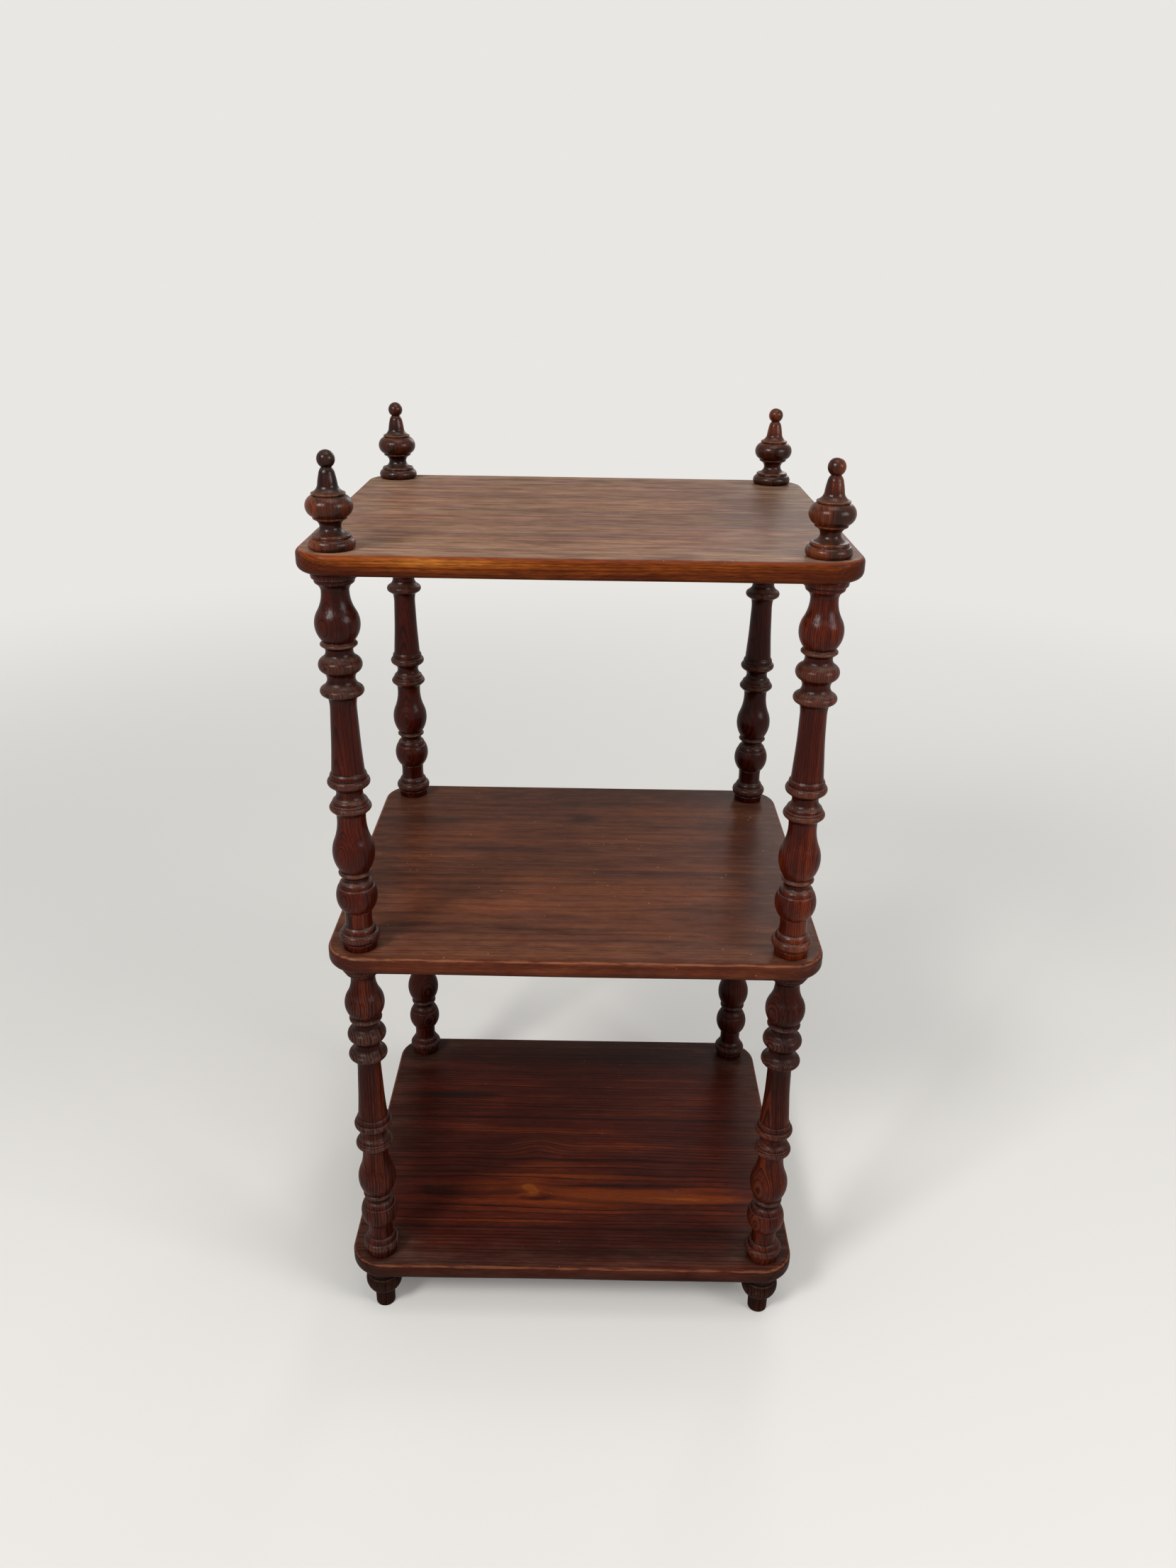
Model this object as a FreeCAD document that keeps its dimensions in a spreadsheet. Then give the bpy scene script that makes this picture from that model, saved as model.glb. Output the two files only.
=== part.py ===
import FreeCAD, Part

import math
import os

import Sketcher

# Three-tier etagere of turned pine: three round-cornered shelves carried on eight turned
# columns, with four finials on top and four turned feet below. Every turned piece ends in a
# round tenon that passes down through the shelf under it into the socket of the piece below,
# so each corner is one pegged post and the piece comes apart again.
#
# Millimetres. +X is to the right, +Y to the back and +Z up. The origin is on the floor, in
# the middle of the four feet.

doc = FreeCAD.newDocument("etagere")

# ---------------------------------------------------------------- driving sizes

SIZES = (
    ("shelf_width", 456, "shelf, side to side"),
    ("shelf_depth", 393, "shelf, front to back"),
    ("shelf_thickness", 18, "planed board"),
    ("shelf_corner_radius", 34, "rounded corners of the shelf"),
    ("shelf_top_round", 4.5, "round of the upper arris"),
    ("shelf_bottom_round", 6.5, "round of the lower arris"),
    ("post_inset_side", 31, "post axis to the side edge"),
    ("post_inset_front", 25, "post axis to the front and back edges"),
    ("tenon_diameter", 13, "round tenon under each turned piece"),
    ("tenon_reach", 20, "tenon past the underside of its shelf"),
    ("tenon_chamfer", 1, "lead at the tip of the tenon"),
    ("socket_clearance", 0.15, "gap all round a tenon in its hole"),
    ("socket_relief", 3, "room left under the tip of a tenon"),
    ("column_seat_radius", 15.2, "column where it stands on its shelf"),
    ("finial_seat_radius", 17.2, "finial where it stands on the top shelf"),
    ("foot_seat_radius", 8.6, "foot where it stands on the floor"),
    ("finial_ball_radius", 7.2, "ball at the tip of a finial"),
)

# A turned outline is a chain of elements, from the bottom up. Each has its name, its rise,
# the radius at its top, and how far its line swells out (a bead) or in (a cove) from straight.
# A longer shaft raises a tier, and a longer peg raises the whole piece.

COLUMN = (
    ("plinth", 7.4, 15.6, 0),
    ("base_bead", 9.0, 16.6, 2.4),
    ("base_quirk", 0.5, 15.4, 0),
    ("base_shoulder", 6.0, 12.5, 0.7),
    ("lower_neck", 15.4, 12.5, -0.3),
    ("lower_step", 0.8, 14.0, 0),
    ("lower_ball", 23.4, 16.6, 3.2),
    ("lower_quirk", 0.5, 15.6, 0),
    ("lower_shoulder", 6.0, 12.3, 0.8),
    ("lower_collar_cove", 5.8, 13.9, -1.4),
    ("lower_collar", 2.8, 14.3, 0.6),
    ("lower_collar_quirk", 1.1, 13.0, 0),
    ("lower_vase", 30.1, 16.4, 3.9),
    ("lower_vase_neck", 25.4, 12.9, -1.6),
    ("first_ring_step", 3.4, 16.7, 0),
    ("first_ring", 6.4, 17.0, 1.7),
    ("first_ring_quirk", 0.6, 15.6, 0),
    ("first_ring_lip", 3.6, 14.0, 0.5),
    ("ring_cove", 9.8, 12.8, -1.8),
    ("second_ring_step", 2.4, 16.2, 0),
    ("second_ring", 7.6, 16.6, 2.0),
    ("second_ring_quirk", 0.6, 15.4, 0),
    ("second_ring_lip", 5.0, 14.2, 0.4),
    ("shaft", 57.4, 11.3, -0.35),
    ("shaft_flare", 9.6, 12.4, -0.3),
    ("third_ring_step", 2.4, 16.4, 0),
    ("third_ring", 7.0, 16.6, 2.1),
    ("third_ring_dish", 5.4, 12.0, -0.7),
    ("upper_ball_cove", 7.4, 14.2, -1.0),
    ("upper_ball", 12.6, 14.6, 4.0),
    ("upper_collar_cove", 8.4, 12.2, -1.7),
    ("upper_collar_step", 1.6, 14.7, 0),
    ("upper_collar", 2.6, 15.0, 0.5),
    ("upper_collar_quirk", 1.4, 13.0, 0),
    ("upper_vase", 24.8, 16.0, 4.1),
    ("upper_vase_neck", 16.0, 11.6, -1.1),
    ("capital_cove", 7.2, 15.0, -1.1),
    ("capital_step", 0.6, 15.9, 0),
    ("capital_bead", 3.0, 16.5, 0.3),
    ("capital_ledge", 1.4, 18.6, 0),
    ("capital_cap", 4.6, 19.0, 0),
)

FINIAL = (
    ("base_bead", 9.2, 16.6, 2.1),
    ("base_quirk", 0.5, 15.1, 0),
    ("base_disc", 2.0, 15.2, 0.2),
    ("base_cove", 5.6, 8.6, -1.5),
    ("neck_flare", 6.0, 12.8, -1.2),
    ("lip", 2.0, 13.4, 0.4),
    ("bulb", 15.4, 14.2, 5.2),
    ("cap_quirk", 0.4, 13.2, 0),
    ("cap", 1.8, 14.0, 0.3),
    ("spire_cove", 6.0, 8.6, -1.0),
    ("spire", 10.6, 7.2, 0.25),
    ("spire_dome", 4.2, 4.6, 0.8),
)

FOOT = (
    ("toe_round", 1.4, 10.0, 0.4),
    ("peg", 20.6, 10.4, 0),
    ("bowl_floor", 2.4, 16.0, 0.4),
    ("bowl", 16.6, 16.8, 2.3),
    ("bowl_quirk", 0.8, 15.6, 0),
    ("collar_cove", 3.9, 16.0, -0.3),
    ("collar_step", 0.8, 17.2, 0),
    ("collar", 7.0, 16.8, 1.0),
)

# ---------------------------------------------------------------- the sheet

sheet = doc.addObject("Spreadsheet::Sheet", "sizes")
next_row = 1


def enter(alias, content, note=""):
    """Write one named cell, with its note beside it."""
    global next_row
    sheet.set("A%d" % next_row, alias)
    sheet.set("B%d" % next_row, str(content))
    sheet.setAlias("B%d" % next_row, alias)
    sheet.set("C%d" % next_row, note)
    next_row += 1


def size(alias):
    """The number that a named cell holds."""
    return float(sheet.get(alias))


def cell(alias):
    """A named cell, as an expression calls it."""
    return "<<sizes>>." + alias


def enter_outline(piece, elements):
    """Enter every element of a turned outline, and the height that they add up to."""
    rises = []
    for name, rise, radius, swell in elements:
        alias = "%s_%s" % (piece, name)
        enter(alias + "_rise", rise, "height of the element")
        enter(alias + "_radius", radius, "radius at its top")
        if swell:
            enter(alias + "_swell", swell, "bead or cove, off the straight line")
        rises.append(alias + "_rise")
    enter(piece + "_height", "=" + " + ".join(rises), "all the elements together")


for alias, number, note in SIZES:
    enter(alias, number, note)
enter_outline("column", COLUMN)
enter_outline("finial", FINIAL)
enter_outline("foot", FOOT)
enter("post_x", "=shelf_width / 2 - post_inset_side", "post axis, from the middle")
enter("post_y", "=shelf_depth / 2 - post_inset_front", "post axis, from the middle")
enter("hole_radius", "=tenon_diameter / 2 + socket_clearance", "hole for a tenon")
enter("tenon_length", "=shelf_thickness + tenon_reach", "shoulder to tip")
enter("socket_depth", "=tenon_reach + socket_relief", "blind socket in a turned piece")
enter("bottom_shelf_z", "=foot_height", "underside")
enter("bottom_shelf_top", "=bottom_shelf_z + shelf_thickness", "where the lower columns stand")
enter("middle_shelf_z", "=bottom_shelf_top + column_height", "underside")
enter("middle_shelf_top", "=middle_shelf_z + shelf_thickness", "where the upper columns stand")
enter("top_shelf_z", "=middle_shelf_top + column_height", "underside")
enter("top_shelf_top", "=top_shelf_z + shelf_thickness", "where the finials stand")
doc.recompute()

# ---------------------------------------------------------------- sketch helpers

# A sketch numbers the places on an edge in this order, and its own axes backwards from -1.
PLACES = ("edge", "start", "end", "centre")
START = PLACES.index("start")
END = PLACES.index("end")
CENTRE = PLACES.index("centre")
AXES = ("level", "upright")
LEVEL_AXIS = -1 - AXES.index("level")
UPRIGHT_AXIS = -1 - AXES.index("upright")
ORIGIN = (LEVEL_AXIS, START)
UP = FreeCAD.Vector(0, 0, 1)
LEVEL_TOLERANCE = 1e-6


def new_body(label):
    body = doc.addObject("PartDesign::Body", label)
    body.Label = label
    return body


def new_sketch(body, name, role):
    """A sketch on one of the body's own origin planes."""
    plane = [each for each in body.Origin.OriginFeatures if each.Role == role][0]
    sketch = body.newObject("Sketcher::SketchObject", name)
    sketch.AttachmentSupport = [(plane, "")]
    sketch.MapMode = "FlatFace"
    return sketch


class Drawing:
    """Edges, ties and dimensions gathered for one sketch, and added to it in one go."""

    def __init__(self):
        self.edges = []
        self.ties = []
        self.bindings = []

    def edge(self, geometry):
        self.edges.append(geometry)
        return len(self.edges) - 1

    def tie(self, kind, *places):
        self.ties.append(Sketcher.Constraint(kind, *places))

    def dimension(self, kind, places, value, expression):
        """A driving dimension whose value comes from the sheet."""
        self.bindings.append((len(self.ties), expression))
        self.tie(kind, *places, value)

    def put_into(self, sketch):
        sketch.addGeometry(self.edges, False)
        sketch.addConstraint(self.ties)
        for number, expression in self.bindings:
            sketch.setExpression("Constraints[%d]" % number, expression)


class HalfOutline(Drawing):
    """The right half of a turned outline, drawn upwards from the axis and back down it."""

    def __init__(self, height):
        """Start on the axis; the first edge that follows leaves from there."""
        super().__init__()
        self.here = FreeCAD.Vector(0, height, 0)
        self.tail = None

    def join(self, geometry, near, far, target):
        """Add an edge that begins where the last one ended."""
        index = self.edge(geometry)
        if self.tail is None:
            self.tie("PointOnObject", index, near, UPRIGHT_AXIS)
        else:
            self.tie("Coincident", *self.tail, index, near)
        self.tail = (index, far)
        self.here = target
        return index

    def line(self, x, y):
        target = FreeCAD.Vector(x, y, 0)
        return self.join(Part.LineSegment(self.here, target), START, END, target)

    def arc(self, centre, x, y, bead):
        """An arc about a centre: a bead turns anticlockwise on its way up, a cove clockwise."""
        target = FreeCAD.Vector(x, y, 0)
        begin, finish = (self.here, target) if bead else (target, self.here)
        from_angle = math.atan2(begin.y - centre.y, begin.x - centre.x)
        to_angle = math.atan2(finish.y - centre.y, finish.x - centre.x)
        if to_angle < from_angle:
            to_angle += 2 * math.pi
        circle = Part.Circle(centre, UP, (begin - centre).Length)
        near, far = (START, END) if bead else (END, START)
        return self.join(Part.ArcOfCircle(circle, from_angle, to_angle), near, far, target)

    def bind_radius(self, alias):
        """Hold the newest point at a radius."""
        self.dimension("DistanceX", (*ORIGIN, *self.tail), self.here.x, cell(alias))

    def element(self, alias, radius_below):
        """One bead, cove or straight, above a point whose own radius has the alias given."""
        rise = size(alias + "_rise")
        radius = size(alias + "_radius")
        below = self.here
        swell = size(alias + "_swell") if has_cell(alias + "_swell") else 0
        if not swell:
            index = self.line(radius, below.y + rise)
        else:
            chord = FreeCAD.Vector(radius - below.x, rise, 0)
            outward = FreeCAD.Vector(rise, below.x - radius, 0).normalize()
            arc_radius = (chord.Length ** 2 / 4 + swell ** 2) / (2 * abs(swell))
            off_chord = swell - math.copysign(arc_radius, swell)
            centre = below + chord * 0.5 + outward * off_chord
            index = self.arc(centre, radius, below.y + rise, swell > 0)
            formula = "(({0}_rise^2 + ({0}_radius - {1})^2) / 4 + {0}_swell^2) / (2 * abs({0}_swell))"
            self.dimension("Radius", (index,), arc_radius, formula.format(cell(alias), cell(radius_below)))
        near, far = (END, START) if swell < 0 else (START, END)
        self.dimension("DistanceY", (index, near, index, far), rise, cell(alias + "_rise"))
        self.bind_radius(alias + "_radius")

    def close(self):
        """Back down the axis to the first edge."""
        bottom = self.edges[0].StartPoint
        self.line(bottom.x, bottom.y)
        self.tie("Coincident", *self.tail, 0, START)


def has_cell(alias):
    return bool(sheet.getCellFromAlias(alias))


# ---------------------------------------------------------------- turned pieces


def draw_tenon(outline):
    """The tenon, from the middle of its chamfered tip up to the shoulder."""
    radius = size("tenon_diameter") / 2
    chamfer = size("tenon_chamfer")
    reach = size("tenon_length")
    tip = outline.line(radius - chamfer, -reach)
    outline.tie("Horizontal", tip)
    outline.dimension("DistanceY", (tip, START, *ORIGIN), reach, cell("tenon_length"))
    bevel = outline.line(radius, chamfer - reach)
    for kind in ("DistanceX", "DistanceY"):
        outline.dimension(kind, (bevel, START, bevel, END), chamfer, cell("tenon_chamfer"))
    side = outline.line(radius, 0)
    outline.tie("Vertical", side)
    half_diameter = cell("tenon_diameter") + " / 2"
    outline.dimension("DistanceX", (*ORIGIN, side, END), radius, half_diameter)


def draw_ball(outline):
    """The ball on a finial's neck: its centre is on the axis, so it meets the neck all round."""
    radius = size("finial_ball_radius")
    neck = outline.here
    middle = neck.y + math.sqrt(radius ** 2 - neck.x ** 2)
    ball = outline.arc(FreeCAD.Vector(0, middle, 0), 0, middle + radius, True)
    outline.tie("PointOnObject", ball, CENTRE, UPRIGHT_AXIS)
    outline.dimension("Radius", (ball,), radius, cell("finial_ball_radius"))
    outline.tie("PointOnObject", *outline.tail, UPRIGHT_AXIS)


def draw_flat_top(outline):
    """The level top of a piece that carries a shelf."""
    top = outline.line(0, outline.here.y)
    outline.tie("Horizontal", top)
    outline.tie("PointOnObject", *outline.tail, UPRIGHT_AXIS)


def turned_piece(label, piece, elements, tenon=True, socket=True):
    """A turned body, with the face it stands on at its own zero height."""
    body = new_body(label)
    sketch = new_sketch(body, label + "_outline", "XZ_Plane")
    outline = HalfOutline(-size("tenon_length") if tenon else 0)
    if tenon:
        draw_tenon(outline)
    seat = outline.line(size(piece + "_seat_radius"), 0)
    outline.tie("Horizontal", seat)
    outline.tie("PointOnObject", *outline.tail, LEVEL_AXIS)
    outline.bind_radius(piece + "_seat_radius")
    radius_below = piece + "_seat_radius"
    for name, *_ in elements:
        alias = "%s_%s" % (piece, name)
        outline.element(alias, radius_below)
        radius_below = alias + "_radius"
    if socket:
        draw_flat_top(outline)
    else:
        draw_ball(outline)
    outline.close()
    outline.put_into(sketch)
    turning = body.newObject("PartDesign::Revolution", label + "_turning")
    turning.Profile = sketch
    turning.ReferenceAxis = (sketch, ["V_Axis"])
    turning.Angle = 360
    if socket:
        bore_socket(body, label, piece + "_height")
    return body


def bore_socket(body, label, top):
    """The blind hole down from the top of a turned piece, for the tenon above it."""
    sketch = new_sketch(body, label + "_socket_outline", "XY_Plane")
    sketch.setExpression("AttachmentOffset.Base.z", cell(top))
    drawing = Drawing()
    radius = size("hole_radius")
    rim_circle = drawing.edge(Part.Circle(FreeCAD.Vector(0, 0, 0), UP, radius))
    drawing.tie("Coincident", rim_circle, CENTRE, *ORIGIN)
    drawing.dimension("Radius", (rim_circle,), radius, cell("hole_radius"))
    drawing.put_into(sketch)
    bored = body.newObject("PartDesign::Pocket", label + "_socket")
    bored.Profile = sketch
    bored.Type = "Length"
    bored.setExpression("Length", cell("socket_depth"))


# ---------------------------------------------------------------- shelves


def draw_plan(sketch):
    """The shelf's plan: a rectangle whose corners are rounded by tangent arcs."""
    drawing = Drawing()
    half_x = size("shelf_width") / 2
    half_y = size("shelf_depth") / 2
    corner = size("shelf_corner_radius")
    sides = []
    bends = []
    for quarter in range(4):
        turn = FreeCAD.Rotation(UP, 90 * quarter)
        reach, span = (half_x, half_y) if quarter % 2 == 0 else (half_y, half_x)
        low = turn.multVec(FreeCAD.Vector(reach, corner - span, 0))
        high = turn.multVec(FreeCAD.Vector(reach, span - corner, 0))
        centre = turn.multVec(FreeCAD.Vector(reach - corner, span - corner, 0))
        angle = quarter * math.pi / 2
        sides.append(drawing.edge(Part.LineSegment(low, high)))
        bend = Part.ArcOfCircle(Part.Circle(centre, UP, corner), angle, angle + math.pi / 2)
        bends.append(drawing.edge(bend))
    for quarter in range(4):
        side, bend, next_side = sides[quarter], bends[quarter], sides[(quarter + 1) % 4]
        drawing.tie("Tangent", side, END, bend, START)
        drawing.tie("Tangent", bend, END, next_side, START)
        drawing.tie("Vertical" if quarter % 2 == 0 else "Horizontal", side)
        if quarter:
            drawing.tie("Equal", bends[0], bend)
    right, back, left, front = sides
    half_width = cell("shelf_width") + " / 2"
    half_depth = cell("shelf_depth") + " / 2"
    drawing.dimension("Radius", (bends[0],), corner, cell("shelf_corner_radius"))
    drawing.dimension("DistanceX", (*ORIGIN, right, START), half_x, half_width)
    drawing.dimension("DistanceX", (left, START, *ORIGIN), half_x, half_width)
    drawing.dimension("DistanceY", (*ORIGIN, back, START), half_y, half_depth)
    drawing.dimension("DistanceY", (front, START, *ORIGIN), half_y, half_depth)
    drawing.put_into(sketch)


def draw_tenon_holes(sketch):
    """A hole at each of the four posts."""
    drawing = Drawing()
    radius = size("hole_radius")
    for side_x, side_y in ((-1, -1), (1, -1), (1, 1), (-1, 1)):
        centre = FreeCAD.Vector(side_x * size("post_x"), side_y * size("post_y"), 0)
        hole = drawing.edge(Part.Circle(centre, UP, radius))
        inner, outer = ORIGIN, (hole, CENTRE)
        across = (*inner, *outer) if side_x > 0 else (*outer, *inner)
        along = (*inner, *outer) if side_y > 0 else (*outer, *inner)
        drawing.dimension("DistanceX", across, size("post_x"), cell("post_x"))
        drawing.dimension("DistanceY", along, size("post_y"), cell("post_y"))
        drawing.dimension("Radius", (hole,), radius, cell("hole_radius"))
    drawing.put_into(sketch)


def rim_edges(shape, height):
    """The names of the edges that lie wholly at one height."""
    names = []
    for number, edge in enumerate(shape.Edges, 1):
        box = edge.BoundBox
        if max(abs(box.ZMin - height), abs(box.ZMax - height)) < LEVEL_TOLERANCE:
            names.append("Edge%d" % number)
    return names


def round_rim(body, name, height, alias):
    """Round the shelf's arris at one height."""
    doc.recompute()
    square = body.Tip
    fillet = body.newObject("PartDesign::Fillet", name)
    fillet.Base = (square, rim_edges(square.Shape, height))
    fillet.setExpression("Radius", cell(alias))


def shelf(label, level):
    """A round-cornered board with both arrises rounded and a tenon hole at each post."""
    body = new_body(label)
    plan = new_sketch(body, label + "_plan", "XY_Plane")
    draw_plan(plan)
    board = body.newObject("PartDesign::Pad", label + "_board")
    board.Profile = plan
    board.Type = "Length"
    board.setExpression("Length", cell("shelf_thickness"))
    round_rim(body, label + "_top_round", size("shelf_thickness"), "shelf_top_round")
    round_rim(body, label + "_bottom_round", 0, "shelf_bottom_round")
    hole_plan = new_sketch(body, label + "_hole_plan", "XY_Plane")
    hole_plan.setExpression("AttachmentOffset.Base.z", cell("shelf_thickness"))
    draw_tenon_holes(hole_plan)
    holes = body.newObject("PartDesign::Pocket", label + "_holes")
    holes.Profile = hole_plan
    holes.Type = "ThroughAll"
    body.setExpression("Placement.Base.z", cell(level))
    return body


# ---------------------------------------------------------------- the whole piece

CORNERS = (
    ("front_left", "-", "-"),
    ("front_right", "", "-"),
    ("back_left", "-", ""),
    ("back_right", "", ""),
)


def stand(body, sign_x, sign_y, level):
    """Put a turned piece on its post axis, with the face it stands on at a level of the whole."""
    body.setExpression("Placement.Base.x", sign_x + cell("post_x"))
    body.setExpression("Placement.Base.y", sign_y + cell("post_y"))
    if level:
        body.setExpression("Placement.Base.z", cell(level))
    return body


pieces = [shelf(name, name + "_z") for name in ("bottom_shelf", "middle_shelf", "top_shelf")]
for corner, sign_x, sign_y in CORNERS:
    foot = turned_piece("foot_" + corner, "foot", FOOT, tenon=False)
    lower = turned_piece("lower_column_" + corner, "column", COLUMN)
    upper = turned_piece("upper_column_" + corner, "column", COLUMN)
    finial = turned_piece("finial_" + corner, "finial", FINIAL, socket=False)
    pieces.append(stand(foot, sign_x, sign_y, None))
    pieces.append(stand(lower, sign_x, sign_y, "bottom_shelf_top"))
    pieces.append(stand(upper, sign_x, sign_y, "middle_shelf_top"))
    pieces.append(stand(finial, sign_x, sign_y, "top_shelf_top"))

doc.recompute()

# ---------------------------------------------------------------- tests and files

for item in doc.Objects:
    if {"Invalid", "Error"} & set(item.State):
        raise RuntimeError("%s did not build: %s" % (item.Label, item.State))
for body in pieces:
    shape = body.Shape
    if shape.isNull() or not shape.isValid() or len(shape.Solids) != 1:
        raise RuntimeError("%s is not one valid solid" % body.Label)
    last = body.Tip
    if last.TypeId == "PartDesign::Pocket" and last.Shape.Volume >= last.BaseFeature.Shape.Volume:
        raise RuntimeError("%s: its hole cut nothing" % body.Label)

os.makedirs("parts", exist_ok=True)
for body in pieces:
    body.Shape.exportStep(os.path.join("parts", body.Label + ".step"))
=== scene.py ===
import math
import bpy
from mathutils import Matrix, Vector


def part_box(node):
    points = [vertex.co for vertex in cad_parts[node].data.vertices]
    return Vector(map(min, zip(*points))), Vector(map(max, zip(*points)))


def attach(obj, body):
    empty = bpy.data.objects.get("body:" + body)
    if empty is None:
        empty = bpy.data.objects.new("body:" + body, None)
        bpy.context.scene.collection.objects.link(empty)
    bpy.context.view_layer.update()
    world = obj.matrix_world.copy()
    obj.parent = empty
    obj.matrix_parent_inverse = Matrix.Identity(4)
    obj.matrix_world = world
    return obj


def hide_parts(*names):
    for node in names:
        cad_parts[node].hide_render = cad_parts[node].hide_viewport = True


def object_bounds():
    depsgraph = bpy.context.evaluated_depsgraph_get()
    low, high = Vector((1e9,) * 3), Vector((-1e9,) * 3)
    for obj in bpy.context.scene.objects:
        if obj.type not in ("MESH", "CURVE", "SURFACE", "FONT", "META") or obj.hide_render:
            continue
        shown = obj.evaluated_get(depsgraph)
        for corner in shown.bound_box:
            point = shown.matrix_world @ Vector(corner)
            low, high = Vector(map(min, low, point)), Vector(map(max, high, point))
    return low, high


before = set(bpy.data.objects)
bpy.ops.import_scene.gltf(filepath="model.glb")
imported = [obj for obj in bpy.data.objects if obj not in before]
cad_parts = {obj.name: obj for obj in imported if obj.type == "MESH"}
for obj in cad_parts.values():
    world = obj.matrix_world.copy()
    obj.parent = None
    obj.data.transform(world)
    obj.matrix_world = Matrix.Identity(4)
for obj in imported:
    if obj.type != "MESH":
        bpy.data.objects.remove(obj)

from types import SimpleNamespace

import bpy
import numpy as np
from bpy.props import FloatProperty, FloatVectorProperty, IntProperty, PointerProperty
from mathutils import Matrix

# An old whatnot in red pine, stained mahogany and varnished: three shelves with rounded edges,
# eight turned columns, four finials and four feet, set round the fixed frame. Metres, in the
# frame's own axes: +X to the right, +Y to the back, +Z up.

bl_info = {
    "name": "Turned Pine Etagere",
    "version": (1, 0, 0),
    "blender": (4, 5, 0),
    "location": "3D View > Sidebar > Etagere",
    "description": "Dresses the frame of a three-tier turned-pine etagere",
    "category": "Add Mesh",
}

MM = 0.001
CAD_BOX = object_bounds()
CORNERS = ("front_left", "front_right", "back_left", "back_right")
SHELVES = ("bottom_shelf", "middle_shelf", "top_shelf")

# ------------------------ turned patterns

# A turned outline is a chain of elements, from the bottom up: the element's name, its rise, the
# radius at its top, and how far its line swells out (a bead) or in (a cove), all in millimetres.
# The element whose rise is None takes up what the piece's height leaves. The seat is the radius
# where the outline starts.
COLUMN_SEAT = 15.2
COLUMN = (
    ("plinth", 6.6, 15.8, 0.1),
    ("base_scribe", 0.8, 15.9, -0.45),
    ("base_bead", 9.0, 16.6, 2.3),
    ("base_quirk", 0.5, 15.4, 0),
    ("base_shoulder", 6.0, 12.5, 0.7),
    ("lower_neck", 15.0, 12.5, -0.3),
    ("neck_scribe", 0.5, 12.3, -0.3),
    ("lower_step", 0.7, 14.0, 0),
    ("lower_ball", 23.4, 16.6, 3.2),
    ("lower_quirk", 0.5, 15.6, 0),
    ("lower_shoulder", 6.0, 12.3, 0.8),
    ("lower_collar_cove", 5.8, 13.9, -1.4),
    ("lower_collar", 2.8, 14.3, 0.8),
    ("lower_collar_quirk", 1.1, 13.0, 0),
    ("lower_vase", 30.1, 16.4, 3.9),
    ("lower_vase_neck", 25.4, 12.9, -1.6),
    ("first_ring_step", 3.4, 16.7, 0.2),
    ("first_ring", 5.2, 17.3, 1.4),
    ("first_ring_scribe", 0.7, 16.9, -0.35),
    ("first_ring_top", 0.9, 16.2, 0.2),
    ("first_ring_quirk", 0.4, 15.6, 0),
    ("first_ring_lip", 3.4, 14.0, 0.6),
    ("ring_cove", 9.8, 12.8, -1.8),
    ("second_ring_step", 2.4, 16.2, 0.2),
    ("second_ring", 7.2, 16.8, 2.0),
    ("second_ring_scribe", 0.8, 16.0, -0.4),
    ("second_ring_lip", 5.2, 14.2, 0.7),
    ("shaft", None, 11.3, -0.35),
    ("shaft_flare", 9.6, 12.4, -0.3),
    ("third_ring_step", 2.4, 16.4, 0.1),
    ("third_ring", 7.0, 16.6, 2.1),
    ("third_ring_dish", 5.4, 12.0, -0.7),
    ("upper_ball_cove", 7.4, 14.2, -1.0),
    ("upper_ball", 12.6, 14.6, 4.0),
    ("upper_collar_cove", 8.4, 12.2, -1.7),
    ("upper_collar_step", 1.6, 14.7, 0.1),
    ("upper_collar", 2.6, 15.0, 0.8),
    ("upper_collar_quirk", 1.4, 13.0, 0),
    ("upper_vase", 24.8, 16.0, 4.1),
    ("upper_vase_neck", 16.0, 11.6, -1.1),
    ("capital_cove", 7.2, 15.0, -1.1),
    ("capital_step", 0.6, 15.9, 0),
    ("capital_bead", 3.0, 16.5, 0.4),
    ("capital_ledge", 1.4, 18.6, 0.1),
    ("capital_cap", 4.6, 19.0, 0.2),
)

FINIAL_SEAT = 17.2
FINIAL = (
    ("base_bead", 8.6, 17.0, 2.1),
    ("base_scribe", 0.8, 15.9, -0.5),
    ("base_disc", 2.4, 15.0, 0.4),
    ("base_cove", 5.5, 8.6, -1.5),
    ("neck_flare", 6.0, 12.8, -1.2),
    ("lip", 2.0, 13.4, 0.6),
    ("bulb", 16.4, 13.8, 5.3),
    ("cap_quirk", 0.4, 12.8, 0),
    ("cap", 1.8, 13.4, 0.5),
    ("spire_cove", 5.8, 8.0, -1.1),
    ("spire", 8.5, 6.5, 0.15),
    ("spire_dome", 5.0, 4.0, 0.45),
)

FOOT_SEAT = 8.6
FOOT = (
    ("toe_round", 1.4, 10.0, 0.4),
    ("peg", None, 10.4, 0),
    ("bowl_floor", 2.4, 16.0, 0.4),
    ("bowl", 16.6, 16.8, 2.3),
    ("bowl_quirk", 0.8, 15.6, 0),
    ("collar_cove", 3.9, 16.0, -0.3),
    ("collar_step", 0.8, 17.2, 0),
    ("collar", 7.0, 16.8, 1.0),
)

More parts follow.
